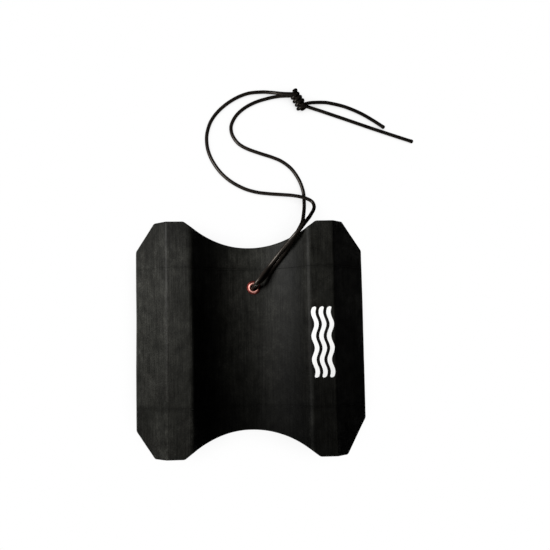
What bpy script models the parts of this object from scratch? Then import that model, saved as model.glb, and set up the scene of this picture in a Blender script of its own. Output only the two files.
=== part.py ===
"""Pull buoy: a laminated foam block with a doubled elastic leg cord.

The block lies on its back. X runs across it, Y along its two leg channels and Z up through its
thickness. The origin is at the middle of the block, on the surface that it lies on.
"""
import math

import bmesh
import bpy
from mathutils import Vector

# --- Driving dimensions, in metres -------------------------------------------------------------
WIDTH = 0.240
LENGTH = 0.240
THICKNESS = 0.120
GAP = 0.0003                     # left between pieces that touch

CHANNEL_HALF_WIDTH = 0.0594      # leg channels, front and back, round in section
CHANNEL_DEPTH = 0.034
FLAT_OUTER_EDGE = 0.0857         # the flat beside each channel ends here
FACET_DROP = 0.0346              # height lost by the sloping outer facet
NOTCH_HALF_WIDTH = 0.0677        # round notches in the two ends
TOP_NOTCH_DEPTH = 0.024
BOTTOM_NOTCH_DEPTH = 0.025

# Each corner's cut runs from this x, on the end face, to this y, on the side face. They differ a
# little, as on a block that is cut by hand.
TOP_LEFT_CORNER = (0.0990, 0.0932)
TOP_RIGHT_CORNER = (0.0963, 0.0920)
BOTTOM_LEFT_CORNER = (0.0985, 0.0940)
BOTTOM_RIGHT_CORNER = (0.0971, 0.0852)

TOP_GLUE_LINE_Y = 0.073          # the block is glued together from three sections
BOTTOM_GLUE_LINE_Y = -0.070
CHANNEL_STEPS = 10               # facets in each half of a channel

BORE_X = 0.004                   # hole for the cord, through the waist of the block
BORE_Y = 0.0535
EYELET_FLANGE_RADIUS = 0.0072
EYELET_FLANGE_HEIGHT = 0.0012
EYELET_BARREL_RADIUS = 0.0043
EYELET_HOLE_RADIUS = 0.00355
EYELET_BARREL_LENGTH = 0.010
SEAT_DEPTH = 0.0005              # the flange presses this far into the foam
ROUND_SIDES = 32

CORD_RADIUS = 0.002              # 4 mm elastic cord
SQUEEZED_RADIUS = 0.00155        # where two runs share the eyelet
STRAND_OFFSET = 0.0016           # of each run from the middle of the hole
CORD_POINT_SPACING = 0.0095

PRINT_X = (0.0610, 0.0845)       # the flat film of the print, on the right-hand flat
PRINT_Y = (-0.041, 0.031)
PRINT_THICKNESS = 0.0002

# --- Values that follow from them --------------------------------------------------------------
WAIST_TOP = THICKNESS - CHANNEL_DEPTH
WAIST_BOTTOM = CHANNEL_DEPTH
WAIST_MIDDLE = THICKNESS / 2
CHANNEL_RADIUS = (CHANNEL_HALF_WIDTH ** 2 + CHANNEL_DEPTH ** 2) / (2 * CHANNEL_DEPTH)
BORE = Vector((BORE_X, BORE_Y, 0))
STRAND_SIDE = STRAND_OFFSET * Vector((0.82, 0.57, 0))      # the two runs lie side by side in the hole
STRAND_A = BORE - STRAND_SIDE
STRAND_B = BORE + STRAND_SIDE

# --- Routes of the cord, in millimetres --------------------------------------------------------
# Both strands leave the eyelet upwards, bend over, climb the channel's right wall, drop over the
# edge of the top notch and lie on the surface. The outer one passes twice over the inner one.
OUTER_ROUTE = [
    (2.7, 52.6, 86.0), (3.0, 53.1, 89.2), (4.0, 54.5, 92.5), (5.8, 56.7, 95.1), (8.1, 59.5, 96.5),
    (11.0, 63.2, 96.8), (15.4, 68.9, 95.9), (20.7, 75.4, 95.5), (27.6, 83.9, 98.4), (33.6, 91.2, 102.9),
    (38.5, 96.8, 107.8), (43.6, 102.4, 112.7), (48.6, 107.8, 116.0), (53.2, 113.1, 116.0),
    (57.2, 118.4, 110.9), (60.4, 122.8, 100.6), (63.6, 127.4, 84.0), (67.6, 133.4, 60.0),
    (72.0, 140.6, 37.0), (76.2, 147.6, 20.0), (78.2, 154.0, 11.0), (75.8, 160.2, 8.0),
    (67.0, 164.8, 7.4), (54.4, 167.8, 5.4), (41.3, 169.5, 2.8), (26.3, 170.8, 2.1),
    (11.2, 172.8, 2.1), (-3.7, 177.4, 2.1), (-18.7, 185.8, 2.1), (-30.2, 196.0, 2.1),
    (-38.6, 207.6, 2.1), (-44.2, 219.5, 2.1), (-46.8, 232.0, 2.1), (-46.2, 245.0, 2.1),
    (-41.2, 259.4, 2.1), (-30.8, 272.8, 2.1), (-15.5, 284.6, 2.1), (1.7, 292.2, 2.1),
    (18.9, 294.2, 2.1), (30.0, 293.2, 3.6), (38.0, 291.5, 6.3), (45.5, 290.4, 7.5), (52.3, 290.1, 7.9),
]
INNER_ROUTE = [
    (5.3, 54.4, 86.0), (5.9, 54.8, 88.9), (7.3, 56.0, 91.3), (9.3, 57.8, 92.8), (12.0, 60.1, 93.2),
    (15.2, 63.3, 92.8), (19.5, 68.2, 92.3), (24.8, 74.8, 93.2), (31.0, 82.4, 96.2), (37.0, 90.1, 100.4),
    (41.3, 96.7, 104.5), (45.1, 102.4, 108.3), (48.1, 106.8, 110.8), (51.0, 111.6, 111.9),
    (53.4, 116.0, 109.6), (55.5, 120.0, 102.2), (57.4, 124.4, 89.0),
    (59.8, 130.6, 68.0), (62.3, 138.2, 47.0), (64.7, 146.4, 27.6), (66.4, 153.8, 12.8),
    (67.2, 160.8, 4.2), (67.2, 168.2, 2.1), (65.8, 176.4, 2.1), (61.4, 188.0, 2.1),
    (53.2, 200.4, 2.1), (42.4, 209.2, 2.1), (30.9, 214.5, 2.1), (15.7, 219.6, 2.1),
    (0.8, 225.2, 2.1), (-9.0, 231.2, 2.1), (-15.4, 239.6, 2.1), (-17.9, 248.3, 2.1),
    (-16.6, 256.6, 2.1), (-10.6, 266.6, 2.1), (-0.4, 275.4, 2.1), (12.9, 282.2, 2.1),
    (28.3, 286.8, 2.1), (38.0, 288.6, 2.4), (45.5, 289.1, 2.9), (52.3, 289.0, 3.5),
]
SHORT_TAIL_ROUTE = [
    (70.9, 277.9, 7.6), (76.5, 279.6, 6.2), (84.0, 281.0, 3.2), (92.0, 281.4, 2.1), (100.0, 280.6, 2.1),
    (118.0, 276.2, 2.1), (137.1, 268.2, 2.1), (153.0, 258.8, 2.1), (166.2, 249.9, 2.1),
]
LONG_TAIL_ROUTE = [
    (71.6, 276.6, 3.1), (81.0, 273.6, 2.4), (92.0, 270.0, 2.1), (120.0, 260.2, 2.1),
    (148.7, 250.0, 2.1), (177.4, 240.2, 2.1), (200.2, 232.6, 2.1),
]
# The closed end of the doubled cord hangs below the stopper knot: distance to the side, height.
BIGHT_ROUTE = [
    (-2.4, 17.8), (-3.7, 15.6), (-5.3, 12.8), (-6.3, 9.6), (-5.7, 6.2), (-3.4, 3.6), (0.0, 2.7),
    (3.4, 3.6), (5.7, 6.2), (6.3, 9.6), (5.3, 12.8), (3.7, 15.6), (2.4, 17.8),
]
LEG_KNOT_START = (0.0553, 0.2958, 0.0060)     # ends of the barrel knot's axis
LEG_KNOT_END = (0.0666, 0.2718, 0.0060)
LEG_KNOT_RADII = [0.0030, 0.0044, 0.0052, 0.0056, 0.0058, 0.0059, 0.0059, 0.0053, 0.0036]
STOPPER_TOP_Z = 0.0320
STOPPER_BOTTOM_Z = 0.0194
STOPPER_RADII = [0.0040, 0.0056, 0.0062, 0.0062, 0.0056, 0.0040]


def material(name, colour, roughness, metallic=0.0):
    """A Principled material with one colour."""
    made = bpy.data.materials.new(name)
    made.use_nodes = True
    shader = made.node_tree.nodes["Principled BSDF"]
    shader.inputs["Base Color"].default_value = (*colour, 1.0)
    shader.inputs["Roughness"].default_value = roughness
    shader.inputs["Metallic"].default_value = metallic
    made.diffuse_color = (*colour, 1.0)
    return made


def loft(name, rings, finish, closed=False, smooth=False):
    """One solid through rings of points: open with both ends capped, or closed on itself."""
    bm = bmesh.new()
    rows = [[bm.verts.new(point) for point in ring] for ring in rings]
    count = len(rows[0])
    pairs = list(zip(rows, rows[1:]))
    if closed:
        pairs.append((rows[-1], rows[0]))
    for here, there in pairs:
        for k in range(count):
            after = (k + 1) % count
            bm.faces.new((here[k], here[after], there[after], there[k]))
    if not closed:
        bm.faces.new(rows[0])
        bm.faces.new(rows[-1])
    bmesh.ops.recalc_face_normals(bm, faces=bm.faces)
    mesh = bpy.data.meshes.new(name)
    bm.to_mesh(mesh)
    bm.free()
    if smooth:
        mesh.shade_smooth()
        mesh.set_sharp_from_angle(angle=math.radians(40))
    mesh.materials.append(finish)
    made = bpy.data.objects.new(name, mesh)
    bpy.context.collection.objects.link(made)
    return made


def circle(centre, radius, across, up):
    """Points of a circle in the plane of two directions."""
    turns = [2 * math.pi * k / ROUND_SIDES for k in range(ROUND_SIDES)]
    return [centre + radius * (math.cos(t) * across + math.sin(t) * up) for t in turns]


# --- The foam block ----------------------------------------------------------------------------
def top_height(x):
    """Height of the block's front surface at x. The back surface mirrors it."""
    if abs(x) <= CHANNEL_HALF_WIDTH:
        return WAIST_TOP + CHANNEL_RADIUS - math.sqrt(CHANNEL_RADIUS ** 2 - x ** 2)
    slope = FACET_DROP / (WIDTH / 2 - FLAT_OUTER_EDGE)
    return THICKNESS - slope * max(0.0, abs(x) - FLAT_OUTER_EDGE)


def end_distance(x, notch_depth, left_corner, right_corner):
    """How far the block reaches along Y at x: a round notch, an end face and a cut corner."""
    if abs(x) <= NOTCH_HALF_WIDTH:
        radius = (NOTCH_HALF_WIDTH ** 2 + notch_depth ** 2) / (2 * notch_depth)
        return LENGTH / 2 + radius - notch_depth - math.sqrt(radius ** 2 - x ** 2)
    corner_x, corner_y = left_corner if x < 0 else right_corner
    past = max(0.0, abs(x) - corner_x) / (WIDTH / 2 - corner_x)
    return LENGTH / 2 - past * (LENGTH / 2 - corner_y)


def top_end(x):
    return end_distance(x, TOP_NOTCH_DEPTH, TOP_LEFT_CORNER, TOP_RIGHT_CORNER)


def bottom_end(x):
    return -end_distance(x, BOTTOM_NOTCH_DEPTH, BOTTOM_LEFT_CORNER, BOTTOM_RIGHT_CORNER)


def foam_section(name, low_end, high_end, corners, finish):
    """A slice of the block between two ends, as a loft of rectangles along X."""
    steps = [k / CHANNEL_STEPS * CHANNEL_HALF_WIDTH for k in range(-CHANNEL_STEPS, CHANNEL_STEPS + 1)]
    left = [-WIDTH / 2, -FLAT_OUTER_EDGE, -NOTCH_HALF_WIDTH]
    stations = sorted(left + steps + [-x for x in left] + corners)
    rings = []
    for x in stations:
        top = top_height(x)
        bottom = THICKNESS - top
        low, high = low_end(x), high_end(x)
        rings.append([Vector((x, y, z)) for y, z in
                      ((low, bottom), (high, bottom), (high, top), (low, top))])
    return loft(name, rings, finish)


def bore_cutter(finish):
    """The cord's hole, with a shallow seat for an eyelet's flange at each end."""
    seat = EYELET_FLANGE_RADIUS + GAP
    hole = EYELET_BARREL_RADIUS + GAP
    low_seat = WAIST_BOTTOM + SEAT_DEPTH
    high_seat = WAIST_TOP - SEAT_DEPTH
    beyond = 0.008
    profile = [(seat, low_seat - beyond), (seat, low_seat), (hole, low_seat),
               (hole, high_seat), (seat, high_seat), (seat, high_seat + beyond)]
    across, up = Vector((1, 0, 0)), Vector((0, 1, 0))
    rings = [circle(Vector((BORE_X, BORE_Y, z)), radius, across, up) for radius, z in profile]
    cutter = loft("bore_cutter", rings, finish)
    cutter.hide_render = True
    cutter.display_type = "WIRE"
    return cutter


def build_foam(foam):
    top_corners = [-TOP_LEFT_CORNER[0], TOP_RIGHT_CORNER[0]]
    bottom_corners = [-BOTTOM_LEFT_CORNER[0], BOTTOM_RIGHT_CORNER[0]]
    foam_section("foam_top_section", lambda x: TOP_GLUE_LINE_Y + GAP / 2, top_end, top_corners, foam)
    middle = foam_section("foam_middle_section", lambda x: BOTTOM_GLUE_LINE_Y + GAP / 2,
                          lambda x: TOP_GLUE_LINE_Y - GAP / 2, [], foam)
    foam_section("foam_bottom_section", bottom_end, lambda x: BOTTOM_GLUE_LINE_Y - GAP / 2,
                 bottom_corners, foam)
    bore = middle.modifiers.new("bore", "BOOLEAN")
    bore.object = bore_cutter(foam)
    bore.solver = "EXACT"


# --- Eyelets and the liner between them --------------------------------------------------------
def turned_ring(name, profile, finish):
    """A hollow turned piece on the bore's axis, from a closed outline of (radius, height)."""
    rings = []
    for k in range(ROUND_SIDES):
        turn = 2 * math.pi * k / ROUND_SIDES
        out = Vector((math.cos(turn), math.sin(turn), 0))
        rings.append([Vector((BORE_X, BORE_Y, z)) + radius * out for radius, z in profile])
    return loft(name, rings, finish, closed=True, smooth=True)


def eyelet_outline(seat_z, outward):
    """An eyelet: a barrel in the hole and a flange with a rolled lip, seated at seat_z."""
    flange, height = EYELET_FLANGE_RADIUS, EYELET_FLANGE_HEIGHT
    barrel, hole = EYELET_BARREL_RADIUS, EYELET_HOLE_RADIUS
    outline = [(hole, -EYELET_BARREL_LENGTH), (barrel, -EYELET_BARREL_LENGTH), (barrel, 0),
               (flange, 0), (flange, 0.3 * height), (flange - 0.0005, 0.8 * height),
               (flange - 0.0014, height), (hole + 0.0011, height), (hole + 0.0003, 0.7 * height),
               (hole, 0.1 * height)]
    return [(radius, seat_z + outward * z) for radius, z in outline]


def build_eyelets(copper, plastic):
    front_seat = WAIST_TOP - SEAT_DEPTH + GAP
    back_seat = WAIST_BOTTOM + SEAT_DEPTH - GAP
    turned_ring("front_eyelet", eyelet_outline(front_seat, 1), copper)
    turned_ring("back_eyelet", eyelet_outline(back_seat, -1), copper)
    low = back_seat + EYELET_BARREL_LENGTH + GAP
    high = front_seat - EYELET_BARREL_LENGTH - GAP
    barrel, hole = EYELET_BARREL_RADIUS, EYELET_HOLE_RADIUS
    turned_ring("bore_liner", [(hole, low), (barrel, low), (barrel, high), (hole, high)], plastic)


# --- The elastic cord --------------------------------------------------------------------------
def smooth_curve(route):
    """Close points along a Catmull-Rom curve through the route's points."""
    padded = [2 * route[0] - route[1], *route, 2 * route[-1] - route[-2]]
    steps = 24
    dense = []
    for before, start, end, after in zip(padded, padded[1:], padded[2:], padded[3:]):
        for k in range(steps):
            t = k / steps
            dense.append(0.5 * (2 * start + (end - before) * t
                                + (2 * before - 5 * start + 4 * end - after) * t ** 2
                                + (3 * start - before - 3 * end + after) * t ** 3))
    return dense + [route[-1]]


def thinned(dense, longest, sharpest):
    """Keep a point wherever the curve has run far enough or turned far enough."""
    kept = [dense[0]]
    heading = (dense[1] - dense[0]).normalized()
    for here, there in zip(dense[1:], dense[2:]):
        ahead = (there - here).normalized()
        if (here - kept[-1]).length > longest or ahead.angle(heading) > sharpest:
            kept.append(here)
            heading = ahead
    if (kept[-1] - dense[-1]).length < CORD_RADIUS:
        kept.pop()
    return kept + [dense[-1]]


def cord(name, route, finish, squeezed_length=0.0):
    """A tube along the route, thinner over its first stretch where the eyelet squeezes it."""
    points = thinned(smooth_curve(route), CORD_POINT_SPACING, math.radians(24))
    curve = bpy.data.curves.new(name, "CURVE")
    curve.dimensions = "3D"
    curve.bevel_depth = CORD_RADIUS
    curve.bevel_resolution = 2
    curve.use_fill_caps = True
    spline = curve.splines.new("POLY")
    spline.points.add(len(points) - 1)
    run = 0.0
    for k, point in enumerate(points):
        if k:
            run += (point - points[k - 1]).length
        spline.points[k].co = (*point, 1.0)
        spline.points[k].radius = SQUEEZED_RADIUS / CORD_RADIUS if run < squeezed_length else 1.0
    curve.materials.append(finish)
    made = bpy.data.objects.new(name, curve)
    bpy.context.collection.objects.link(made)
    return made


def in_metres(route):
    return [Vector(point) / 1000 for point in route]


def upright(place, heights):
    return [place + Vector((0, 0, z)) for z in heights]


def build_strands(elastic):
    """The two strands, from the middle of the bore to the leg knot, and the two tails behind it."""
    start = WAIST_MIDDLE + GAP / 2
    squeezed = WAIST_TOP + 0.0110 - start
    rise = [start, 0.071, 0.079, 0.0835]
    outer = upright(STRAND_A, rise) + in_metres(OUTER_ROUTE)
    inner = upright(STRAND_B, rise) + in_metres(INNER_ROUTE)
    cord("leash_outer_strand", outer, elastic, squeezed)
    cord("leash_inner_strand", inner, elastic, squeezed)
    cord("leash_short_tail", in_metres(SHORT_TAIL_ROUTE), elastic)
    cord("leash_long_tail", in_metres(LONG_TAIL_ROUTE), elastic)


def knot(name, start, end, radii, finish):
    """The outer shape of a tight knot, as a barrel from start to end."""
    axis = (end - start).normalized()
    across = axis.orthogonal().normalized()
    up = axis.cross(across)
    last = len(radii) - 1
    rings = [circle(start.lerp(end, k / last), radius, across, up) for k, radius in enumerate(radii)]
    return loft(name, rings, finish, smooth=True)


def build_knots(elastic):
    """The leg knot, and behind the block the cord's other runs with their stopper knot."""
    knot("leg_loop_knot", Vector(LEG_KNOT_START), Vector(LEG_KNOT_END), LEG_KNOT_RADII, elastic)
    for name, place in (("leash_bore_strand_a", STRAND_A), ("leash_bore_strand_b", STRAND_B)):
        ends = [WAIST_MIDDLE - GAP / 2, 0.048, 0.040, STOPPER_TOP_Z + GAP]
        cord(name, upright(place, ends), elastic, squeezed_length=WAIST_MIDDLE)
    top = Vector((BORE_X, BORE_Y, STOPPER_TOP_Z))
    bottom = Vector((BORE_X, BORE_Y, STOPPER_BOTTOM_Z))
    knot("back_stopper_knot", top, bottom, STOPPER_RADII, elastic)
    loop = [Vector((BORE_X, BORE_Y + side / 1000, z / 1000)) for side, z in BIGHT_ROUTE]
    cord("leash_bight", loop, elastic)


# --- The print on the right-hand flat ----------------------------------------------------------
def build_print(ink):
    """Three thin wave stripes, side by side along the flat."""
    stripes, steps, waves = 3, 48, 3
    low_x, high_x = PRINT_X
    pitch = (high_x - low_x) / stripes
    band, swing = 0.28 * pitch, 0.20 * pitch
    bottom = THICKNESS + GAP
    top = bottom + PRINT_THICKNESS
    for stripe in range(stripes):
        middle = low_x + (stripe + 0.5) * pitch
        rings = []
        for k in range(steps + 1):
            part = k / steps
            y = PRINT_Y[0] + part * (PRINT_Y[1] - PRINT_Y[0])
            x = middle + swing * math.sin(2 * math.pi * waves * part)
            rings.append([Vector((x - band, y, bottom)), Vector((x + band, y, bottom)),
                          Vector((x + band, y, top)), Vector((x - band, y, top))])
        loft(f"print_wave_{stripe + 1}", rings, ink)


def main():
    for old in list(bpy.data.objects):
        bpy.data.objects.remove(old)
    foam = material("black_foam", (0.022, 0.022, 0.020), 0.85)
    copper = material("copper_metal", (0.72, 0.33, 0.25), 0.28, 1.0)
    plastic = material("liner_plastic", (0.03, 0.03, 0.03), 0.5)
    elastic = material("elastic_cord", (0.016, 0.014, 0.012), 0.7)
    ink = material("white_print", (0.9, 0.9, 0.9), 0.5)
    build_foam(foam)
    build_eyelets(copper, plastic)
    build_strands(elastic)
    build_knots(elastic)
    build_print(ink)


main()
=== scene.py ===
"""The looks of the pull buoy: rounded foam, rolled copper eyelets, a braided elastic cord and a print."""
import math

import bmesh
import bpy
import numpy as np
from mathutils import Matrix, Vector, noise


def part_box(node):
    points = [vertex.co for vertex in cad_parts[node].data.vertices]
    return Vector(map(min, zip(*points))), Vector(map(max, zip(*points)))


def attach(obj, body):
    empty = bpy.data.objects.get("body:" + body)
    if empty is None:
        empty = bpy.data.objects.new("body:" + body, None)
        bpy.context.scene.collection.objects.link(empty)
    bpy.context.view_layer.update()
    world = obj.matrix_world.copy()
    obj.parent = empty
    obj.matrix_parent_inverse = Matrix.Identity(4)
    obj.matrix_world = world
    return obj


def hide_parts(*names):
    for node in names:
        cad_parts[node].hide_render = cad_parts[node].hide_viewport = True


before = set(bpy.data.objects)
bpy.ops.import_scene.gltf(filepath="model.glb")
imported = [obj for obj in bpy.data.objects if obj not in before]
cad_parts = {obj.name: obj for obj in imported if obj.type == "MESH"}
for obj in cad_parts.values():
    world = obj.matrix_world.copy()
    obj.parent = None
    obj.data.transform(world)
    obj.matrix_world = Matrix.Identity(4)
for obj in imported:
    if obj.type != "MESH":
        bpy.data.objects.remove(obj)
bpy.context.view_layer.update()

noise.seed_set(7)                # the same unevenness in every run

# --- Dimensions, in metres, with the main ones read from the frame -------------------------------
foam_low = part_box("foam_bottom_section")[0]
foam_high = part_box("foam_top_section")[1]
WIDTH = foam_high.x - foam_low.x
LENGTH = foam_high.y - foam_low.y
THICKNESS = foam_high.z - foam_low.z
MIDDLE_LOW, MIDDLE_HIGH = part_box("foam_middle_section")
CAD_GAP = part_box("foam_top_section")[0].y - MIDDLE_HIGH.y
TOP_GLUE_LINE_Y = MIDDLE_HIGH.y + CAD_GAP / 2
BOTTOM_GLUE_LINE_Y = MIDDLE_LOW.y - CAD_GAP / 2
GLUE_GAP = 0.00004               # the sections all but touch in the visible glue lines

CHANNEL_HALF_WIDTH = 0.0594
CHANNEL_DEPTH = 0.034
FLAT_OUTER_EDGE = 0.0857
FACET_DROP = 0.0346
NOTCH_HALF_WIDTH = 0.0677
TOP_NOTCH_DEPTH = 0.024
BOTTOM_NOTCH_DEPTH = 0.025
TOP_LEFT_CORNER = (0.0990, 0.0932)
TOP_RIGHT_CORNER = (0.0963, 0.0920)
BOTTOM_LEFT_CORNER = (0.0985, 0.0940)
BOTTOM_RIGHT_CORNER = (0.0971, 0.0852)
CHANNEL_STEPS = 26               # columns of faces in each half of a channel
LIP_ROUNDING = 0.0034            # along the lips of the channels
EDGE_ROUNDING = 0.0016
GLUE_EDGE_ROUNDING = 0.00022
SHARPEST_UNROUNDED = math.radians(12)
SAME_PLACE = 1e-5
GRID = 0.006                     # spacing of the cuts that let the foam's faces undulate
SWELL, DENTS = 0.00030, 0.00007  # depth of the foam's slow and quick unevenness
SWELL_WAVES = Vector((24, 18, 24))
DENT_WAVES = 110
DENT_SHIFT = Vector((3.1, 5.7, 1.3))
EVEN_ROUND_BORE = 0.009          # no unevenness nearer than this, and all of it after the fade
EVEN_FADE = 0.012

EYELET_LOW, EYELET_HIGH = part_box("front_eyelet")
BORE = (EYELET_LOW + EYELET_HIGH) / 2
EYELET_FLANGE_RADIUS = (EYELET_HIGH.x - EYELET_LOW.x) / 2
EYELET_FLANGE_HEIGHT = 0.0012
EYELET_BARREL_RADIUS = 0.0043
EYELET_HOLE_RADIUS = 0.00355
EYELET_BARREL_LENGTH = 0.010
EYELET_LIP_RADIUS = 0.0057       # outside of the rolled lip
EYELET_LIP_BASE = 0.0003
EYELET_TRIM = 0.0001             # the rolled eyelet stays this much inside the size of its flange
SEAT_DEPTH = 0.0005
SEAT_GAP = 0.0003                # between the flange and its seat in the foam
SEAT_CLEARANCE = 0.0002          # round the flange
HOLE_CLEARANCE = 0.0001          # round the barrel and the liner

CORD_RADIUS = 0.0021             # with the fuzz of its sheath
SQUEEZED_RADIUS = 0.00155
STRAND_OFFSET = 0.0016
CORD_SIDES = 48
CORD_RING_SPACING = 0.000375
BRAID_CARRIERS = 8
BRAID_PITCH = 0.0030
BRAID_RELIEF = 0.000015
HALF_RUN_GAP = 0.00015           # half the gap in the hole between a cord's upper and lower piece
STRAND_HEIGHTS = [0.071, 0.079, 0.0835]        # of points on the straight way up the hole
BORE_RUN_HEIGHT = 0.045          # of the one on the way down
THIN_ABOVE_WAIST = 0.0065        # a strand is squeezed up to this height above the waist
GROWTH_LENGTH = 0.0070           # along which it then grows to full size

TIP_SWELLING = 0.10              # a melted tip is this much wider than the cord
TIP_SWELLING_AT = 0.0022         # the widest place, from the end
TIP_SWELLING_REACH = 0.0014
TIP_ROUNDING = 0.0011
TIP_SMALLEST = 0.12              # the square of the radius of its blunt face, as a share of the cord's

STRANDS_INTO_KNOT = 0.0068       # how far a strand goes on inside the leg knot
TAILS_INTO_KNOT = 0.0045         # and how far a tail does
LEG_KNOT_FROM = (0.0566, 0.2924, 0.0060)
LEG_KNOT_TO = (0.0664, 0.2758, 0.0060)
LEG_KNOT_END = (0.0680, 0.2733, 0.0060)
LEG_KNOT_CORE_RADIUS = 0.0030
WRAP_RADIUS = 0.0021             # the cord in a knot
POINTS_IN_A_TURN = 18
TUCKED_SHARE = 0.30              # radius of a winding's tucked ends, as a share of its full radius
UNEQUAL_TURNS = 0.04             # how much the turns of a winding differ in radius
UNEQUAL_RHYTHM, UNEQUAL_START = 3.7, 0.6       # in radians, for each turn and at the first
BIGHT_HALF_WIDTH = 0.0015        # inside the stopper knot

INK_HALF_WIDTH = 0.0022          # of one wave stripe
INK_HALF_TIP = 0.00005
INK_DEPTH, INK_HEIGHT = 0.0003, 0.00008        # below and above the foam's surface
INK_WAVES, INK_STEPS = 3, 120

LENS_LENGTH = 51.07              # the camera's lens and sensor in millimetres
SENSOR_WIDTH = 36.0
CAMERA_PLACE = (-0.0170, -0.0073, THICKNESS + 0.7916)
CAMERA_DEGREES = (5.173, -2.946, -1.030)
FLOOR_DROP = 0.0002              # the floor lies just below the lowest surface
FLOOR_SIZE = 8.0
FLOOR_GLOW = 2.5                 # light that the bright floor throws back
AMBIENT = 0.02                   # light from the dark room all round

WAIST_TOP = THICKNESS - CHANNEL_DEPTH
WAIST_BOTTOM = CHANNEL_DEPTH
WAIST_MIDDLE = THICKNESS / 2
CHANNEL_RADIUS = (CHANNEL_HALF_WIDTH ** 2 + CHANNEL_DEPTH ** 2) / (2 * CHANNEL_DEPTH)
STRAND_SIDE = STRAND_OFFSET * Vector((0.82, 0.57, 0))      # the two runs lie side by side in the hole
STRAND_A = BORE - STRAND_SIDE
STRAND_B = BORE + STRAND_SIDE

# --- Routes of the cord, as in the CAD model, in millimetres -------------------------------------
OUTER_ROUTE = [
    (2.7, 52.6, 86.0), (3.0, 53.1, 89.2), (4.0, 54.5, 92.5), (5.8, 56.7, 95.1), (8.1, 59.5, 96.5),
    (11.0, 63.2, 96.8), (15.4, 68.9, 95.9), (20.7, 75.4, 95.5), (27.6, 83.9, 98.4), (33.6, 91.2, 102.9),
    (38.5, 96.8, 107.8), (43.6, 102.4, 112.7), (48.6, 107.8, 116.0), (53.2, 113.1, 116.0),
    (57.2, 118.4, 110.9), (60.4, 122.8, 100.6), (63.6, 127.4, 84.0), (67.6, 133.4, 60.0),
    (72.0, 140.6, 37.0), (76.2, 147.6, 20.0), (78.2, 154.0, 11.0), (75.8, 160.2, 8.0),
    (67.0, 164.8, 7.4), (54.4, 167.8, 5.4), (41.3, 169.5, 2.8), (26.3, 170.8, 2.1),
    (11.2, 172.8, 2.1), (-3.7, 177.4, 2.1), (-18.7, 185.8, 2.1), (-30.2, 196.0, 2.1),
    (-38.6, 207.6, 2.1), (-44.2, 219.5, 2.1), (-46.8, 232.0, 2.1), (-46.2, 245.0, 2.1),
    (-41.2, 259.4, 2.1), (-30.8, 272.8, 2.1), (-15.5, 284.6, 2.1), (1.7, 292.2, 2.1),
    (18.9, 294.2, 2.1), (30.0, 293.2, 3.6), (38.0, 291.5, 6.3), (45.5, 290.4, 7.5), (52.3, 290.1, 7.9),
]
INNER_ROUTE = [
    (5.3, 54.4, 86.0), (5.9, 54.8, 88.9), (7.3, 56.0, 91.3), (9.3, 57.8, 92.8), (12.0, 60.1, 93.2),
    (15.2, 63.3, 92.8), (19.5, 68.2, 92.3), (24.8, 74.8, 93.2), (31.0, 82.4, 96.2), (37.0, 90.1, 100.4),
    (41.3, 96.7, 104.5), (45.1, 102.4, 108.3), (48.1, 106.8, 110.8), (51.0, 111.6, 111.9),
    (53.4, 116.0, 109.6), (55.5, 120.0, 102.2), (57.4, 124.4, 89.0),
    (59.8, 130.6, 68.0), (62.3, 138.2, 47.0), (64.7, 146.4, 27.6), (66.4, 153.8, 12.8),
    (67.2, 160.8, 4.2), (67.2, 168.2, 2.1), (65.8, 176.4, 2.1), (61.4, 188.0, 2.1),
    (53.2, 200.4, 2.1), (42.4, 209.2, 2.1), (30.9, 214.5, 2.1), (15.7, 219.6, 2.1),
    (0.8, 225.2, 2.1), (-9.0, 231.2, 2.1), (-15.4, 239.6, 2.1), (-17.9, 248.3, 2.1),
    (-16.6, 256.6, 2.1), (-10.6, 266.6, 2.1), (-0.4, 275.4, 2.1), (12.9, 282.2, 2.1),
    (28.3, 286.8, 2.1), (38.0, 288.6, 2.4), (45.5, 289.1, 2.9), (52.3, 289.0, 3.5),
]
SHORT_TAIL_ROUTE = [
    (70.9, 277.9, 7.6), (76.5, 279.6, 6.2), (84.0, 281.0, 3.2), (92.0, 281.4, 2.1), (100.0, 280.6, 2.1),
    (118.0, 276.2, 2.1), (137.1, 268.2, 2.1), (153.0, 258.8, 2.1), (166.2, 249.9, 2.1),
]
LONG_TAIL_ROUTE = [
    (71.6, 276.6, 3.1), (81.0, 273.6, 2.4), (92.0, 270.0, 2.1), (120.0, 260.2, 2.1),
    (148.7, 250.0, 2.1), (177.4, 240.2, 2.1), (200.2, 232.6, 2.1),
]
# The closed end of the doubled cord hangs below the stopper knot: distance to the side, height.
BIGHT_ROUTE = [
    (-2.4, 17.8), (-3.7, 15.6), (-5.3, 12.8), (-6.3, 9.6), (-5.7, 6.2), (-3.4, 3.6), (0.0, 2.7),
    (3.4, 3.6), (5.7, 6.2), (6.3, 9.6), (5.3, 12.8), (3.7, 15.6), (2.4, 17.8),
]


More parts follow.
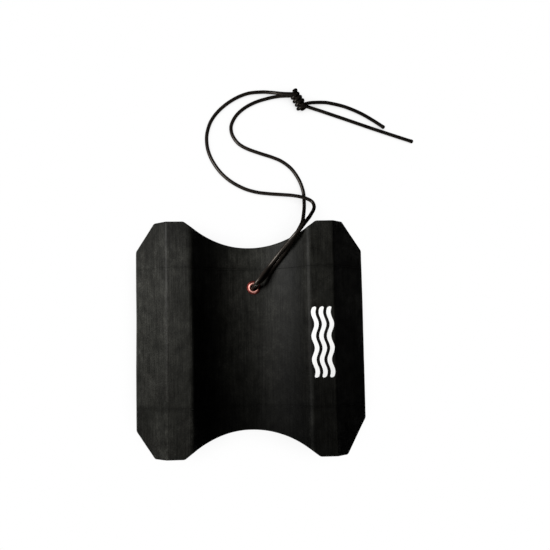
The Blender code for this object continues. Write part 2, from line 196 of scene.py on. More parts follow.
# --- Materials -----------------------------------------------------------------------------------
class Surface:
    """A material's node tree, with short calls for the nodes that the surfaces here share."""

    def __init__(self, name, colour, roughness, metallic=0.0, specular=0.5):
        self.material = bpy.data.materials.new(name)
        self.material.use_nodes = True
        self.tree = self.material.node_tree
        self.shader = self.tree.nodes["Principled BSDF"]
        self.set("Base Color", (*colour, 1.0))
        self.set("Roughness", roughness)
        self.set("Metallic", metallic)
        self.set("Specular IOR Level", specular)
        self.place = self.node("ShaderNodeTexCoord").outputs["Object"]

    def set(self, socket, value):
        self.shader.inputs[socket].default_value = value

    def node(self, kind, **settings):
        made = self.tree.nodes.new(kind)
        for key, value in settings.items():
            setattr(made, key, value)
        return made

    def link(self, source, target):
        self.tree.links.new(source, target)

    def stretched(self, scale):
        mapping = self.node("ShaderNodeMapping")
        mapping.inputs["Scale"].default_value = scale
        self.link(self.place, mapping.inputs["Vector"])
        return mapping.outputs["Vector"]

    def noise(self, scale, detail=4.0, roughness=0.55):
        """Noise with so many waves a metre along X, Y and Z."""
        made = self.node("ShaderNodeTexNoise")
        made.inputs["Scale"].default_value = 1.0
        made.inputs["Detail"].default_value = detail
        made.inputs["Roughness"].default_value = roughness
        self.link(self.stretched(scale), made.inputs["Vector"])
        return made.outputs["Fac"]

    def cells(self, scale):
        made = self.node("ShaderNodeTexVoronoi", feature="F1")
        made.inputs["Scale"].default_value = 1.0
        self.link(self.stretched(scale), made.inputs["Vector"])
        return made.outputs["Distance"]

    def fit(self, value, low, high, to_low=0.0, to_high=1.0):
        made = self.node("ShaderNodeMapRange", interpolation_type="SMOOTHSTEP")
        self.link(value, made.inputs["Value"])
        numbers = {"From Min": low, "From Max": high, "To Min": to_low, "To Max": to_high}
        for socket, number in numbers.items():
            made.inputs[socket].default_value = number
        return made.outputs["Result"]

    def maths(self, operation, *values):
        made = self.node("ShaderNodeMath", operation=operation)
        for socket, value in zip(made.inputs, values):
            if isinstance(value, (int, float)):
                socket.default_value = value
            else:
                self.link(value, socket)
        return made.outputs["Value"]

    def mix(self, factor, first, second):
        """A colour between two, each a colour or another mix."""
        made = self.node("ShaderNodeMix", data_type="RGBA")
        self.link(factor, made.inputs["Factor"])
        for socket, colour in ((made.inputs[6], first), (made.inputs[7], second)):
            if isinstance(colour, tuple):
                socket.default_value = (*colour, 1.0)
            else:
                self.link(colour, socket)
        return made.outputs[2]

    def blend(self, factor, first, second):
        """A value between two others."""
        made = self.node("ShaderNodeMix", data_type="FLOAT")
        for socket, source in zip(made.inputs[:4], (factor, None, first, second)):
            if source is not None:
                self.link(source, socket)
        return made.outputs[0]

    def product(self, first, *others):
        for other in others:
            first = self.maths("MULTIPLY", first, other)
        return first

    def blend_to(self, factor, first, second):
        """A value that goes from one number to another as the factor goes from 0 to 1."""
        return self.maths("ADD", self.maths("MULTIPLY", factor, second - first), first)

    def colour(self, source):
        self.link(source, self.shader.inputs["Base Color"])

    def roughness(self, source):
        self.link(source, self.shader.inputs["Roughness"])

    def bump(self, *layers):
        """Relief from several heights, each with its depth in metres."""
        normal = None
        for height, depth in layers:
            made = self.node("ShaderNodeBump")
            made.inputs["Strength"].default_value = 1.0
            made.inputs["Distance"].default_value = depth
            self.link(height, made.inputs["Height"])
            if normal is not None:
                self.link(normal, made.inputs["Normal"])
            normal = made.outputs["Normal"]
        self.link(normal, self.shader.inputs["Normal"])


def foam_surface():
    """Closed-cell foam: cut lines along each face, soft mottling, small cells, scuffed creases and painted
    shade.
    """
    foam = Surface("black_foam_skin", (0.0060, 0.0060, 0.0051), 0.5, specular=0.03)
    facing = foam.node("ShaderNodeSeparateXYZ")
    foam.link(foam.node("ShaderNodeTexCoord").outputs["Normal"], facing.inputs["Vector"])
    on_end = foam.fit(foam.maths("ABSOLUTE", facing.outputs["Y"]), 0.6, 0.8)
    lines = foam.blend(on_end, foam.noise((900, 26, 900), detail=3), foam.noise((900, 900, 26), detail=3))
    wide_lines = foam.blend(on_end, foam.noise((230, 7, 230), detail=4), foam.noise((230, 230, 7), detail=4))
    broad = foam.noise((30, 19, 30), detail=5, roughness=0.6)
    patches = foam.noise((105, 85, 105), detail=6, roughness=0.7)
    grain = foam.noise((1300, 900, 1300), detail=2)
    cells = foam.cells((1500, 1200, 1500))
    place = foam.node("ShaderNodeSeparateXYZ")
    foam.link(foam.place, place.inputs["Vector"])

    def near(value, centre, reach):
        away = foam.maths("ABSOLUTE", foam.maths("SUBTRACT", value, centre))
        return foam.fit(away, 0.0, reach, 1.0, 0.0)

    along = place.outputs["Y"]
    across = foam.maths("ABSOLUTE", place.outputs["X"])
    crease = foam.maths("MAXIMUM", near(across, CHANNEL_HALF_WIDTH, 0.0036),
                        near(across, FLAT_OUTER_EDGE, 0.0030))
    glue = foam.maths("MAXIMUM", near(along, TOP_GLUE_LINE_Y, 0.0040),
                      near(along, BOTTOM_GLUE_LINE_Y, 0.0040))
    low_end = foam.fit(along, -LENGTH / 2, -LENGTH / 4, 1.0, 0.06)
    worn = foam.product(crease, low_end, foam.fit(patches, 0.40, 0.62), foam.fit(grain, 0.25, 0.70, 0.3, 1.4))
    scuffed = foam.product(foam.fit(broad, 0.50, 0.68), foam.fit(patches, 0.48, 0.66),
                           foam.fit(grain, 0.35, 0.65))
    glued = foam.maths("MULTIPLY", glue, foam.fit(patches, 0.2, 0.6, 0.3, 1.0))
    detail = foam.product(foam.fit(broad, 0.30, 0.70, 0.74, 1.28),
                          foam.fit(patches, 0.30, 0.70, 0.70, 1.34),
                          foam.fit(wide_lines, 0.30, 0.70, 0.96, 1.05),
                          foam.fit(lines, 0.30, 0.70, 0.72, 1.32),
                          foam.fit(grain, 0.30, 0.75, 0.70, 1.50),
                          foam.blend_to(glued, 1.0, 0.70))
    # The cut ends and the sides are plainer, and painted paler: painted light on faces that the lamps leave
    # dim.
    plain_cut_and_painted_light = foam.maths("MAXIMUM", on_end, foam.fit(across, WIDTH / 2 - 0.0022, WIDTH / 2 - 0.0008))
    detail = foam.maths("POWER", detail, foam.blend_to(plain_cut_and_painted_light, 1.0, 0.45))
    # Painted shade: the foam is darker towards the channel's low end, on its two walls and on the facets.
    # It stands in for the lamp's falloff along the channel, the left flat's shadow on the left wall and a
    # weaker highlight on the right wall.
    channel_painted_shade = foam.product(foam.fit(along, -0.115, 0.095, 0.34, 1.40),
                           foam.blend_to(near(place.outputs["X"], 0.046, 0.030), 1.0, 0.46),
                           foam.blend_to(near(place.outputs["X"], -0.042, 0.028), 1.0, 0.55))
    # Painted light and shade: the flats are darker and lighter along their length, as the lamp's falloff
    # makes them.
    left_flat_painted_shading = foam.fit(along, 0.03, 0.10, 1.05, 0.66)
    right_flat_painted_shading = foam.fit(along, -0.09, 0.11, 0.62, 1.35)
    flats_painted_shading = foam.blend(foam.fit(place.outputs["X"], -0.05, 0.05), left_flat_painted_shading, right_flat_painted_shading)
    beside = foam.fit(across, CHANNEL_HALF_WIDTH - 0.002, CHANNEL_HALF_WIDTH + 0.001)
    # Painted shade on the facets.
    facet_painted_shade = foam.fit(across, FLAT_OUTER_EDGE - 0.001, FLAT_OUTER_EDGE + 0.001, 1.0, 0.80)
    # The tone takes in the painted shade above and the painted light on the cut faces.
    tone = foam.product(detail, foam.blend(beside, channel_painted_shade, flats_painted_shading), facet_painted_shade, foam.blend_to(plain_cut_and_painted_light, 1.0, 2.0))
    tone = foam.maths("ADD", tone, foam.maths("MULTIPLY", worn, 1.1))
    tone = foam.maths("ADD", tone, foam.maths("MULTIPLY", scuffed, 0.9))
    # A tone of 1 is a quarter of the way to the palest colour.
    foam.colour(foam.mix(foam.maths("MULTIPLY", tone, 0.25), (0.0, 0.0, 0.0), (0.0240, 0.0239, 0.0205)))
    foam.roughness(foam.fit(broad, 0.25, 0.75, 0.45, 0.58))
    foam.bump((wide_lines, 0.00006), (patches, 0.00045), (lines, 0.00012), (cells, 0.00007))
    return foam.material


def copper_surface():
    """Copper-coloured metal, bright on the rolled lip, with dark red painted shade on the sloping skirt round
    it.
    """
    copper = Surface("copper_finish", (0.80, 0.36, 0.27), 0.48, metallic=1.0)
    dull = copper.noise((420, 420, 420), detail=5)
    fine = copper.noise((2400, 2400, 2400), detail=2)
    place = copper.node("ShaderNodeSeparateXYZ")
    copper.link(copper.place, place.inputs["Vector"])
    from_axis = [copper.maths("SUBTRACT", place.outputs[axis], middle)
                 for axis, middle in (("X", BORE.x), ("Y", BORE.y))]
    radius = copper.maths("SQRT", copper.maths("ADD", copper.maths("POWER", from_axis[0], 2.0),
                                               copper.maths("POWER", from_axis[1], 2.0)))
    ragged = copper.maths("ADD", radius, copper.fit(dull, 0.3, 0.7, -0.0003, 0.0003))
    # Painted shade: the sloping skirt round the lip is painted dark red.
    skirt_painted_shade = copper.fit(ragged, 0.0053, 0.0059)
    bright = copper.mix(copper.fit(dull, 0.3, 0.72), (0.56, 0.275, 0.235), (0.45, 0.205, 0.17))
    dark = copper.mix(copper.fit(dull, 0.35, 0.65), (0.110, 0.020, 0.016), (0.045, 0.009, 0.008))
    copper.colour(copper.mix(skirt_painted_shade, bright, dark))
    copper.roughness(copper.fit(fine, 0.3, 0.75, 0.50, 0.62))
    copper.bump((dull, 0.00006), (fine, 0.00002))
    return copper.material


def plastic_surface():
    plastic = Surface("liner_finish", (0.03, 0.03, 0.03), 0.5)
    grain = plastic.noise((900, 900, 900))
    plastic.roughness(plastic.fit(grain, 0.3, 0.7, 0.42, 0.6))
    plastic.bump((grain, 0.00004))
    return plastic.material


def cord_surface():
    """The fine braided sheath of the elastic cord: near black, a little brown and worn."""
    sheath = Surface("elastic_sheath", (0.005, 0.0044, 0.0038), 0.32, specular=0.13)
    fibres = sheath.noise((2600, 2600, 2600), detail=3)
    worn = sheath.noise((70, 70, 70), detail=4)
    base = sheath.mix(sheath.fit(worn, 0.35, 0.7), (0.0042, 0.0034, 0.0028), (0.0090, 0.0070, 0.0056))
    sheath.colour(sheath.mix(sheath.fit(fibres, 0.45, 0.75, 0.0, 0.5), base, (0.0120, 0.0098, 0.0080)))
    sheath.roughness(sheath.fit(fibres, 0.3, 0.7, 0.28, 0.36))
    sheath.bump((fibres, 0.000012))
    sheath.set("Specular Tint", (1.0, 0.90, 0.80, 1.0))
    return sheath.material


def print_surface():
    """White ink, thin enough for the foam's lines to show through."""
    ink = Surface("white_ink", (0.85, 0.85, 0.84), 0.5, specular=0.4)
    lines = ink.noise((900, 14, 900), detail=3)
    pores = ink.noise((1400, 1400, 1400), detail=3)
    worn = ink.mix(ink.fit(lines, 0.55, 0.8, 0.0, 0.35), (0.88, 0.88, 0.87), (0.66, 0.66, 0.65))
    ink.colour(ink.mix(ink.fit(pores, 0.68, 0.78, 0.0, 0.6), worn, (0.35, 0.35, 0.34)))
    ink.bump((lines, 0.00008), (pores, 0.00004))
    return ink.material


# --- Shared shapes -------------------------------------------------------------------------------
def mesh_object(name, points, faces, finish, smooth_angle=None):
    mesh = bpy.data.meshes.new(name)
    mesh.from_pydata(points, [], faces)
    mesh.update()
    mesh.materials.append(finish)
    if smooth_angle is not None:
        mesh.shade_smooth()
        mesh.set_sharp_from_angle(angle=math.radians(smooth_angle))
    made = bpy.data.objects.new(name, mesh)
    bpy.context.scene.collection.objects.link(made)
    return made


def finished(piece, slot, *nodes):
    """Hang a piece on the one body and let it stand for its CAD nodes; the slot is not used."""
    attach(piece, "root")
    if nodes:
        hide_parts(*nodes)
    return piece


def with_modifiers_applied(made):
    """The object again, with the mesh that its modifiers give."""
    seen = made.evaluated_get(bpy.context.evaluated_depsgraph_get())
    mesh = bpy.data.meshes.new_from_object(seen)
    made.modifiers.clear()
    old, made.data = made.data, mesh
    bpy.data.meshes.remove(old)
    return made


# --- The foam block ------------------------------------------------------------------------------
def top_height(x):
    if abs(x) <= CHANNEL_HALF_WIDTH:
        return WAIST_TOP + CHANNEL_RADIUS - math.sqrt(CHANNEL_RADIUS ** 2 - x ** 2)
    slope = FACET_DROP / (WIDTH / 2 - FLAT_OUTER_EDGE)
    return THICKNESS - slope * max(0.0, abs(x) - FLAT_OUTER_EDGE)


def end_distance(x, notch_depth, left_corner, right_corner):
    if abs(x) <= NOTCH_HALF_WIDTH:
        radius = (NOTCH_HALF_WIDTH ** 2 + notch_depth ** 2) / (2 * notch_depth)
        return LENGTH / 2 + radius - notch_depth - math.sqrt(radius ** 2 - x ** 2)
    corner_x, corner_y = left_corner if x < 0 else right_corner
    past = max(0.0, abs(x) - corner_x) / (WIDTH / 2 - corner_x)
    return LENGTH / 2 - past * (LENGTH / 2 - corner_y)


def top_end(x):
    return end_distance(x, TOP_NOTCH_DEPTH, TOP_LEFT_CORNER, TOP_RIGHT_CORNER)


def bottom_end(x):
    return -end_distance(x, BOTTOM_NOTCH_DEPTH, BOTTOM_LEFT_CORNER, BOTTOM_RIGHT_CORNER)


def foam_section(name, low_end, high_end, corners, glue_planes, finish):
    """A slice of the block: a loft of rectangles along X, with every outer edge rounded."""
    steps = [k / CHANNEL_STEPS * CHANNEL_HALF_WIDTH for k in range(-CHANNEL_STEPS, CHANNEL_STEPS + 1)]
    left = [-WIDTH / 2, -FLAT_OUTER_EDGE, -NOTCH_HALF_WIDTH]
    stations = sorted(left + steps + [-x for x in left] + corners)
    bm = bmesh.new()
    rows = []
    for x in stations:
        top = top_height(x)
        low, high = low_end(x), high_end(x)
        corners_here = ((low, THICKNESS - top), (high, THICKNESS - top), (high, top), (low, top))
        rows.append([bm.verts.new((x, y, z)) for y, z in corners_here])
    for here, there in zip(rows, rows[1:]):
        for k in range(4):
            after = (k + 1) % 4
            bm.faces.new((here[k], here[after], there[after], there[k]))
    bm.faces.new(rows[0])
    bm.faces.new(rows[-1])
    bmesh.ops.recalc_face_normals(bm, faces=bm.faces)
    weights = bm.edges.layers.float.new("bevel_weight_edge")
    for edge in bm.edges:
        if edge.calc_face_angle() > SHARPEST_UNROUNDED:
            ends = [vertex.co for vertex in edge.verts]
            if any(all(abs(end.y - y) < SAME_PLACE for end in ends) for y in glue_planes):
                rounding = GLUE_EDGE_ROUNDING
            elif all(abs(abs(end.x) - CHANNEL_HALF_WIDTH) < SAME_PLACE for end in ends):
                rounding = LIP_ROUNDING
            else:
                rounding = EDGE_ROUNDING
            edge[weights] = rounding / LIP_ROUNDING
    mesh = bpy.data.meshes.new(name)
    bm.to_mesh(mesh)
    bm.free()
    mesh.materials.append(finish)
    made = bpy.data.objects.new(name, mesh)
    bpy.context.scene.collection.objects.link(made)
    rounding = made.modifiers.new("rounding", "BEVEL")
    rounding.limit_method = "WEIGHT"
    rounding.width = LIP_ROUNDING
    rounding.segments = 5
    rounding.miter_outer = "MITER_ARC"
    return with_modifiers_applied(made)


def undulation(point):
    """How far the cut foam strays from its true shape at a point; nothing round the eyelets."""
    point = Vector(point)
    slow = noise.noise_vector(point * SWELL_WAVES)
    quick = noise.noise_vector(point * DENT_WAVES + DENT_SHIFT)
    from_bore = (point.xy - BORE.xy).length
    return (SWELL * slow + DENTS * quick) * min(1.0, max(0.0, (from_bore - EVEN_ROUND_BORE) / EVEN_FADE))


def uneven(made):
    """Cut the piece's faces into a grid and let them undulate."""
    bm = bmesh.new()
    bm.from_mesh(made.data)
    for axis, reach in ((0, WIDTH / 2), (1, LENGTH / 2), (2, THICKNESS)):
        step = Vector([1.0 if k == axis else 0.0 for k in range(3)])
        low = 0.0 if axis == 2 else -reach
        for k in range(1, math.ceil((reach - low) / GRID)):
            everything = bm.verts[:] + bm.edges[:] + bm.faces[:]
            bmesh.ops.bisect_plane(bm, geom=everything, plane_co=step * (low + k * GRID), plane_no=step,
                                   dist=1e-6)
    for vertex in bm.verts:
        vertex.co += undulation(vertex.co)
    bm.to_mesh(made.data)
    bm.free()
    return made


def smooth_shaded(made, angle=40):
    made.data.shade_smooth()
    made.data.set_sharp_from_angle(angle=math.radians(angle))
    flat_faces = made.modifiers.new("flat_faces_stay_flat", "WEIGHTED_NORMAL")
    flat_faces.keep_sharp = True
    return with_modifiers_applied(made)


def bore_cutter():
    """The cord's hole through the waist, with a shallow seat for each eyelet's flange."""
    seat, hole = EYELET_FLANGE_RADIUS + SEAT_CLEARANCE, EYELET_BARREL_RADIUS + HOLE_CLEARANCE
    low_seat, high_seat = WAIST_BOTTOM + SEAT_DEPTH, WAIST_TOP - SEAT_DEPTH
    beyond = 0.008
    profile = [(seat, low_seat - beyond), (seat, low_seat), (hole, low_seat),
               (hole, high_seat), (seat, high_seat), (seat, high_seat + beyond)]
    sides = 48
    turns = [2 * math.pi * k / sides for k in range(sides)]
    points = [(BORE.x + r * math.cos(t), BORE.y + r * math.sin(t), z) for r, z in profile for t in turns]
    faces = [(row * sides + k, row * sides + (k + 1) % sides,
              (row + 1) * sides + (k + 1) % sides, (row + 1) * sides + k)
             for row in range(len(profile) - 1) for k in range(sides)]
    last = (len(profile) - 1) * sides
    faces += [tuple(reversed(range(sides))), tuple(range(last, last + sides))]
    return mesh_object("bore_cutter", points, faces, None)


def build_foam(finish):
    top_corners = [-TOP_LEFT_CORNER[0], TOP_RIGHT_CORNER[0]]
    bottom_corners = [-BOTTOM_LEFT_CORNER[0], BOTTOM_RIGHT_CORNER[0]]
    upper, lower = TOP_GLUE_LINE_Y + GLUE_GAP / 2, BOTTOM_GLUE_LINE_Y - GLUE_GAP / 2
    middle_high, middle_low = TOP_GLUE_LINE_Y - GLUE_GAP / 2, BOTTOM_GLUE_LINE_Y + GLUE_GAP / 2
    top = foam_section("foam_top", lambda x: upper, top_end, top_corners, [upper], finish)
    middle = foam_section("foam_middle", lambda x: middle_low, lambda x: middle_high, [],
                          [middle_low, middle_high], finish)
    bottom = foam_section("foam_bottom", bottom_end, lambda x: lower, bottom_corners, [lower], finish)
    cutter = bore_cutter()
    bore = middle.modifiers.new("bore", "BOOLEAN")
    bore.object = cutter
    bore.solver = "EXACT"
    with_modifiers_applied(middle)
    bpy.data.objects.remove(cutter)
    for piece, node in ((top, "foam_top_section"), (middle, "foam_middle_section"),
                        (bottom, "foam_bottom_section")):
        finished(smooth_shaded(uneven(piece)), "black_foam", node)


# --- Eyelets and liner ---------------------------------------------------------------------------
def turned_ring(name, outline, finish, sides=96):
    """A hollow turned piece on the bore's axis, from a closed outline of (radius, height)."""
    count = len(outline)
    turns = [2 * math.pi * k / sides for k in range(sides)]
    points = [(BORE.x + r * math.cos(t), BORE.y + r * math.sin(t), z) for t in turns for r, z in outline]
    faces = [(side * count + k, side * count + (k + 1) % count,
              (side + 1) % sides * count + (k + 1) % count, (side + 1) % sides * count + k)
             for side in range(sides) for k in range(count)]
    made = mesh_object(name, points, faces, finish)
    bm = bmesh.new()
    bm.from_mesh(made.data)
    bmesh.ops.recalc_face_normals(bm, faces=bm.faces)
    bm.to_mesh(made.data)
    bm.free()
    made.data.shade_smooth()
    made.data.set_sharp_from_angle(angle=math.radians(50))
    return made


def eyelet_outline(seat_z, outward):
    """A barrel and a flange: a sloping skirt, then a rounded lip that rolls over into the hole."""
    middle = (EYELET_LIP_RADIUS + EYELET_HOLE_RADIUS) / 2
    reach = (EYELET_LIP_RADIUS - EYELET_HOLE_RADIUS) / 2
    rise = EYELET_FLANGE_HEIGHT - EYELET_TRIM - EYELET_LIP_BASE
    steps, fullness = 16, 0.75
    lip = []
    for k in range(steps + 1):
        turn = math.pi * k / steps
        lip.append((middle + reach * math.cos(turn), EYELET_LIP_BASE + rise * math.sin(turn) ** fullness))
    rim = EYELET_FLANGE_RADIUS - EYELET_TRIM
    outline = [(EYELET_HOLE_RADIUS, -EYELET_BARREL_LENGTH), (EYELET_BARREL_RADIUS, -EYELET_BARREL_LENGTH),
               (EYELET_BARREL_RADIUS, 0.0), (rim, 0.0), (rim, 0.00012), (rim - 0.0002, 0.00026),
               (rim - 0.0008, 0.00036), *lip]
    return [(radius, seat_z + outward * z) for radius, z in outline]


def build_eyelets(copper, plastic):
    front_seat = WAIST_TOP - SEAT_DEPTH + SEAT_GAP
    back_seat = WAIST_BOTTOM + SEAT_DEPTH - SEAT_GAP
    front = turned_ring("front_eyelet_rolled", eyelet_outline(front_seat, 1), copper)
    back = turned_ring("back_eyelet_rolled", eyelet_outline(back_seat, -1), copper)
    finished(front, "copper_metal", "front_eyelet")
    finished(back, "copper_metal", "back_eyelet")
    low = back_seat + EYELET_BARREL_LENGTH
    high = front_seat - EYELET_BARREL_LENGTH
    outline = [(EYELET_HOLE_RADIUS, low), (EYELET_BARREL_RADIUS, low),
               (EYELET_BARREL_RADIUS, high), (EYELET_HOLE_RADIUS, high)]
    finished(turned_ring("liner_tube", outline, plastic), "liner_plastic", "bore_liner")


# --- The elastic cord ----------------------------------------------------------------------------
def smooth_curve(route, spacing):
    """Evenly spaced points along a Catmull-Rom curve through the route's points."""
    route = [np.array(point, float) for point in route]
    padded = [2 * route[0] - route[1], *route, 2 * route[-1] - route[-2]]
    dense = []
    for before, start, end, after in zip(padded, padded[1:], padded[2:], padded[3:]):
        t = np.linspace(0, 1, 24, endpoint=False)[:, None]
        dense.append(0.5 * (2 * start + (end - before) * t
                            + (2 * before - 5 * start + 4 * end - after) * t ** 2
                            + (3 * start - before - 3 * end + after) * t ** 3))
    dense = np.vstack([*dense, route[-1:]])
    run = np.concatenate([[0], np.cumsum(np.linalg.norm(np.diff(dense, axis=0), axis=1))])
    even = np.linspace(0, run[-1], max(2, round(run[-1] / spacing) + 1))
    return np.column_stack([np.interp(even, run, dense[:, k]) for k in range(3)]), even


def frames_along(points):
    """Two directions square to the line at each point, carried along it without twisting."""
    heading = np.gradient(points, axis=0)
    heading /= np.linalg.norm(heading, axis=1)[:, None]
    across = np.zeros_like(points)
    start = np.cross(heading[0], (0.3, 0.5, 0.8))
    across[0] = start / np.linalg.norm(start)
    for k in range(1, len(points)):
        carried = across[k - 1] - heading[k] * (across[k - 1] @ heading[k])
        across[k] = carried / np.linalg.norm(carried)
    return across, np.cross(heading, across)


def braided_tube(name, route, finish, radius_at=None, round_ends=(False, False)):
    """A cord along the route, its surface raised into the diamonds of a braided sheath."""
    points, run = smooth_curve(route, CORD_RING_SPACING)
    radius = np.full(len(run), CORD_RADIUS) if radius_at is None else radius_at(run)
    for at_end in (0, 1):
        if round_ends[at_end]:
            from_end = run if at_end == 0 else run[-1] - run
            bulge = 1 + TIP_SWELLING * np.exp(-((from_end - TIP_SWELLING_AT) / TIP_SWELLING_REACH) ** 2)
            to_full = 1 - np.clip(from_end / TIP_ROUNDING, 0, 1)
            radius = radius * bulge * np.sqrt(np.clip(1 - to_full ** 2, TIP_SMALLEST, 1))
    across, up = frames_along(points)
    turn = np.linspace(0, 2 * np.pi, CORD_SIDES, endpoint=False)
    wave = np.cos(BRAID_CARRIERS * turn[None, :] + 2 * np.pi * run[:, None] / BRAID_PITCH)
    weft = np.cos(BRAID_CARRIERS * turn[None, :] - 2 * np.pi * run[:, None] / BRAID_PITCH)
    size = radius[:, None] - BRAID_RELIEF + BRAID_RELIEF * wave * weft
    rings = (points[:, None, :] + size[:, :, None] * (np.cos(turn)[None, :, None] * across[:, None, :]
                                                      + np.sin(turn)[None, :, None] * up[:, None, :]))
    vertices = np.vstack([rings.reshape(-1, 3), points[:1], points[-1:]])
    row = np.arange(len(points) - 1)[:, None] * CORD_SIDES
    side = np.arange(CORD_SIDES)[None, :]
    after = (side + 1) % CORD_SIDES
    quads = np.stack([row + side, row + after, row + CORD_SIDES + after, row + CORD_SIDES + side], axis=-1)
    first_cap, last_cap = len(vertices) - 2, len(vertices) - 1
    end = (len(points) - 1) * CORD_SIDES
    caps = [(first_cap, int((k + 1) % CORD_SIDES), k) for k in range(CORD_SIDES)]
    caps += [(last_cap, end + k, end + (k + 1) % CORD_SIDES) for k in range(CORD_SIDES)]
    faces = quads.reshape(-1, 4).tolist() + caps
    made = mesh_object(name, vertices.tolist(), faces, finish, smooth_angle=60)
    return made, points, float(run[-1])


def in_metres(route):
    return [tuple(value / 1000 for value in point) for point in route]


def carried_on(end, before, reach):
    """A point inside the knot, straight on from a run's end."""
    end, before = np.array(end), np.array(before)
    return tuple(end + reach * (end - before) / np.linalg.norm(end - before))


def upright(place, heights):
    return [(place.x, place.y, z) for z in heights]


def squeezed_start(run):
    """Thin where two runs share the eyelet, and full size a few millimetres above it."""
    thin_until = WAIST_TOP + THIN_ABOVE_WAIST - WAIST_MIDDLE
    grow = np.clip((run - thin_until) / GROWTH_LENGTH, 0, 1)
    return SQUEEZED_RADIUS + (CORD_RADIUS - SQUEEZED_RADIUS) * grow * grow * (3 - 2 * grow)


def build_cord(finish):
    rise = [WAIST_MIDDLE + HALF_RUN_GAP, *STRAND_HEIGHTS]
    for name, node, place, route in (("outer_strand", "leash_outer_strand", STRAND_A, OUTER_ROUTE),
                                     ("inner_strand", "leash_inner_strand", STRAND_B, INNER_ROUTE)):
        whole = upright(place, rise) + in_metres(route)
        whole.append(carried_on(whole[-1], whole[-2], STRANDS_INTO_KNOT))
        piece, path, length = braided_tube(name, whole, finish, squeezed_start)
        finished(piece, "elastic_cord", node)
    for name, node, route in (("short_tail", "leash_short_tail", SHORT_TAIL_ROUTE),
                              ("long_tail", "leash_long_tail", LONG_TAIL_ROUTE)):
        whole = in_metres(route)
        whole.insert(0, carried_on(whole[0], whole[1], TAILS_INTO_KNOT))
        piece, path, length = braided_tube(name, whole, finish, round_ends=(False, True))
        finished(piece, "elastic_cord", node)


def wound_route(start, end, turns, radius, lean, tuck, widening=0.0, flatness=1.0):
    """A cord wound round the line from start to end, its turns leaning, with both ends tucked in.

    radius is that of the cord's middle, lean how far a turn tips along the line, tuck the share of the
    winding over which each end comes out of the knot, widening the growth from start to end, and
    flatness the height of a turn over its width."""
    start, end = np.array(start), np.array(end)
    axis = (end - start) / np.linalg.norm(end - start)
    side = np.cross(axis, (0.0, 0.0, 1.0) if abs(axis[2]) < 0.9 else (0.0, 1.0, 0.0))
    side /= np.linalg.norm(side)
    up = np.cross(side, axis)
    route = []
    steps = round(POINTS_IN_A_TURN * turns)
    for k in range(steps + 1):
        part = k / steps
        turn = 2 * math.pi * turns * part + math.pi / 2
        tucked = min(1.0, TUCKED_SHARE + part / tuck, TUCKED_SHARE + (1 - part) / tuck)
        unequal = 1 + UNEQUAL_TURNS * math.sin(UNEQUAL_RHYTHM * part * turns + UNEQUAL_START)
        out = radius * tucked * (1 + widening * (part - 0.5)) * unequal
        along = start + (end - start) * part + axis * lean * tucked * math.cos(turn)
        route.append(along + out * (math.cos(turn) * side + flatness * math.sin(turn) * up))
    return [tuple(point) for point in route]


def build_knots(finish):
    """The barrel knot of the leg loop and, behind the block, the stopper knot with its bight."""
    def even(radius):
        return lambda run: np.full(len(run), radius)

    both_ends = (True, True)
    wraps = wound_route(LEG_KNOT_FROM, LEG_KNOT_TO, turns=3.95, radius=0.0046, lean=0.0019, tuck=0.07,
                        widening=0.24, flatness=0.75)
    knot, _, _ = braided_tube("leg_knot_wraps", wraps, finish, even(WRAP_RADIUS), both_ends)
    finished(knot, "elastic_cord", "leg_loop_knot")
    last_turn = wound_route(LEG_KNOT_TO, LEG_KNOT_END, turns=1.6, radius=0.0045, lean=-0.0006, tuck=0.08,
                            flatness=0.80)
    collar, _, _ = braided_tube("leg_knot_last_turn", last_turn, finish, even(WRAP_RADIUS), both_ends)
    finished(collar, "elastic_cord")
    halfway = tuple((np.array(LEG_KNOT_FROM) + LEG_KNOT_TO) / 2)
    core, _, _ = braided_tube("leg_knot_core", [LEG_KNOT_FROM, halfway, LEG_KNOT_TO], finish,
                              even(LEG_KNOT_CORE_RADIUS), both_ends)
    finished(core, "elastic_cord")
    low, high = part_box("back_stopper_knot")
    middle = (low + high) / 2
    top, bottom = (middle.x, middle.y, high.z - WRAP_RADIUS), (middle.x, middle.y, low.z + WRAP_RADIUS)
    wraps = wound_route(top, bottom, turns=3, radius=(high.x - low.x) / 2 - WRAP_RADIUS, lean=0.0012,
                        tuck=0.12)
    stopper, _, _ = braided_tube("stopper_knot_wraps", wraps, finish, even(WRAP_RADIUS))
    finished(stopper, "elastic_cord", "back_stopper_knot")
    fall = [WAIST_MIDDLE - HALF_RUN_GAP, BORE_RUN_HEIGHT, middle.z]
    for name, node, place in (("bore_run_a", "leash_bore_strand_a", STRAND_A),
                              ("bore_run_b", "leash_bore_strand_b", STRAND_B)):
        run, _, _ = braided_tube(name, upright(place, fall), finish, even(SQUEEZED_RADIUS))
        finished(run, "elastic_cord", node)
    loop = [(BORE.x, BORE.y + side / 1000, z / 1000) for side, z in BIGHT_ROUTE]
    loop.insert(0, (BORE.x, BORE.y - BIGHT_HALF_WIDTH, middle.z))
    loop.append((BORE.x, BORE.y + BIGHT_HALF_WIDTH, middle.z))
    bight, _, _ = braided_tube("bight_loop", loop, finish)
    finished(bight, "elastic_cord", "leash_bight")
    return knot


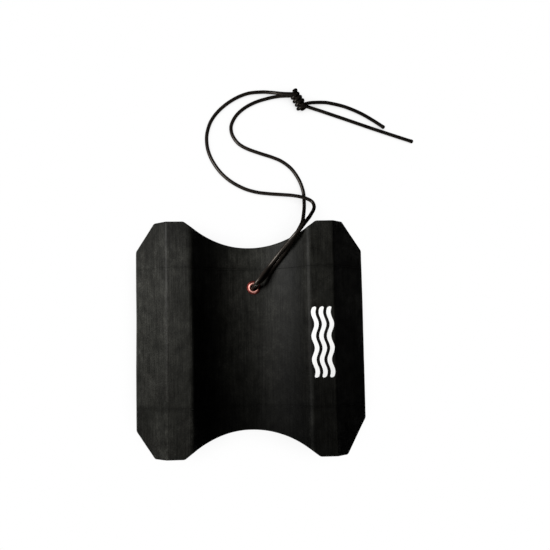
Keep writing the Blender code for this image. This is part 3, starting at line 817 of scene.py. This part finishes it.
# --- The print -----------------------------------------------------------------------------------
def build_print(finish):
    """The wave stripes, as ink that sits on the foam."""
    under, over = THICKNESS - INK_DEPTH, THICKNESS + INK_HEIGHT
    for stripe in (1, 2, 3):
        node = f"print_wave_{stripe}"
        low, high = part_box(node)
        middle = (low.x + high.x) / 2
        swing = (high.x - low.x) / 2 - INK_HALF_WIDTH
        points, faces = [], []
        for k in range(INK_STEPS + 1):
            part = k / INK_STEPS
            y = low.y + part * (high.y - low.y)
            x = middle + swing * math.sin(2 * math.pi * INK_WAVES * part)
            from_end = min(part, 1 - part) * (high.y - low.y)
            to_full = 1 - min(1.0, from_end / INK_HALF_WIDTH)
            half = INK_HALF_WIDTH * math.sqrt(max(0.0, 1 - to_full ** 2)) + INK_HALF_TIP
            corners = [(x - half, y, under), (x + half, y, under), (x + half, y, over), (x - half, y, over)]
            points += [Vector(corner) + undulation((corner[0], y, THICKNESS)) for corner in corners]
        for k in range(INK_STEPS):
            for side in range(4):
                after = (side + 1) % 4
                faces.append((4 * k + after, 4 * k + side, 4 * k + 4 + side, 4 * k + 4 + after))
        last = 4 * INK_STEPS
        faces += [(0, 1, 2, 3), (last + 3, last + 2, last + 1, last)]
        finished(mesh_object(f"ink_wave_{stripe}", points, faces, finish), "white_print", node)


# --- Camera, lights and floor --------------------------------------------------------------------
def build_camera():
    """Almost straight above the block, a little to the left of its middle."""
    lens = bpy.data.cameras.new("camera")
    lens.lens = LENS_LENGTH
    lens.sensor_width = SENSOR_WIDTH
    camera = bpy.data.objects.new("camera", lens)
    camera.location = CAMERA_PLACE
    camera.rotation_euler = [math.radians(angle) for angle in CAMERA_DEGREES]
    bpy.context.scene.collection.objects.link(camera)
    bpy.context.scene.camera = camera


def area_light(name, place, target, size, watts):
    lamp = bpy.data.lights.new(name, "AREA")
    lamp.shape = "DISK"
    lamp.size = size
    lamp.energy = watts
    made = bpy.data.objects.new(name, lamp)
    made.location = place
    made.rotation_euler = (Vector(target) - Vector(place)).to_track_quat("-Z", "Y").to_euler()
    made.visible_camera = False
    bpy.context.scene.collection.objects.link(made)


def pale_floor_surface():
    """White with a soft contact shadow where it is seen, a matt glow for the light that it throws
    back, and dark where a glossy surface would mirror it."""
    pale = Surface("pale_floor", (0.8, 0.8, 0.8), 0.9, specular=0.1)
    pale.set("Emission Color", (1.0, 1.0, 1.0, 1.0))
    pale.set("Emission Strength", FLOOR_GLOW)
    pale.material.cycles.emission_sampling = "NONE"
    contact = pale.node("ShaderNodeAmbientOcclusion", samples=8)
    contact.inputs["Distance"].default_value = 0.05
    glow = pale.node("ShaderNodeEmission")
    glow.inputs["Strength"].default_value = 1.0
    pale.link(pale.mix(pale.fit(contact.outputs["AO"], 0.1, 0.85), (0.62, 0.62, 0.62), (1.0, 1.0, 1.0)),
              glow.inputs["Color"])
    dark = pale.node("ShaderNodeEmission")
    dark.inputs["Strength"].default_value = 0.0
    seen = pale.node("ShaderNodeLightPath")
    unmirrored = pale.node("ShaderNodeMixShader")
    pale.link(seen.outputs["Is Glossy Ray"], unmirrored.inputs["Fac"])
    pale.link(pale.shader.outputs["BSDF"], unmirrored.inputs[1])
    pale.link(dark.outputs["Emission"], unmirrored.inputs[2])
    choose = pale.node("ShaderNodeMixShader")
    pale.link(seen.outputs["Is Camera Ray"], choose.inputs["Fac"])
    pale.link(unmirrored.outputs["Shader"], choose.inputs[1])
    pale.link(glow.outputs["Emission"], choose.inputs[2])
    pale.link(choose.outputs["Shader"], pale.tree.nodes["Material Output"].inputs["Surface"])
    return pale.material


def build_world():
    """White behind everything for the camera, and very little light from it."""
    world = bpy.data.worlds.new("studio")
    world.use_nodes = True
    tree = world.node_tree
    dim = tree.nodes["Background"]
    dim.inputs["Color"].default_value = (1.0, 1.0, 1.0, 1.0)
    dim.inputs["Strength"].default_value = AMBIENT
    white = tree.nodes.new("ShaderNodeBackground")
    white.inputs["Color"].default_value = (1.0, 1.0, 1.0, 1.0)
    seen = tree.nodes.new("ShaderNodeLightPath")
    choose = tree.nodes.new("ShaderNodeMixShader")
    tree.links.new(seen.outputs["Is Camera Ray"], choose.inputs["Fac"])
    tree.links.new(dim.outputs["Background"], choose.inputs[1])
    tree.links.new(white.outputs["Background"], choose.inputs[2])
    tree.links.new(choose.outputs["Shader"], tree.nodes["World Output"].inputs["Surface"])
    bpy.context.scene.world = world


def build_stage():
    bpy.ops.mesh.primitive_plane_add(size=FLOOR_SIZE, location=(0, 0, -FLOOR_DROP))
    floor = bpy.context.object
    floor.name = "floor"
    floor.data.materials.append(pale_floor_surface())
    build_world()
    area_light("key", (-0.275, 0.12, 0.295), target=(0.0, 0.02, 0.08), size=0.18, watts=4.3)
    area_light("front_fill", (-0.35, -1.5, 0.08), target=(0.0, -0.12, 0.06), size=0.5, watts=30.0)
    bpy.context.scene.view_settings.view_transform = "Standard"


def main():
    build_camera()
    sheath = cord_surface()
    knot = build_knots(sheath)
    build_cord(sheath)
    build_foam(foam_surface())
    build_eyelets(copper_surface(), plastic_surface())
    build_print(print_surface())
    build_stage()


main()
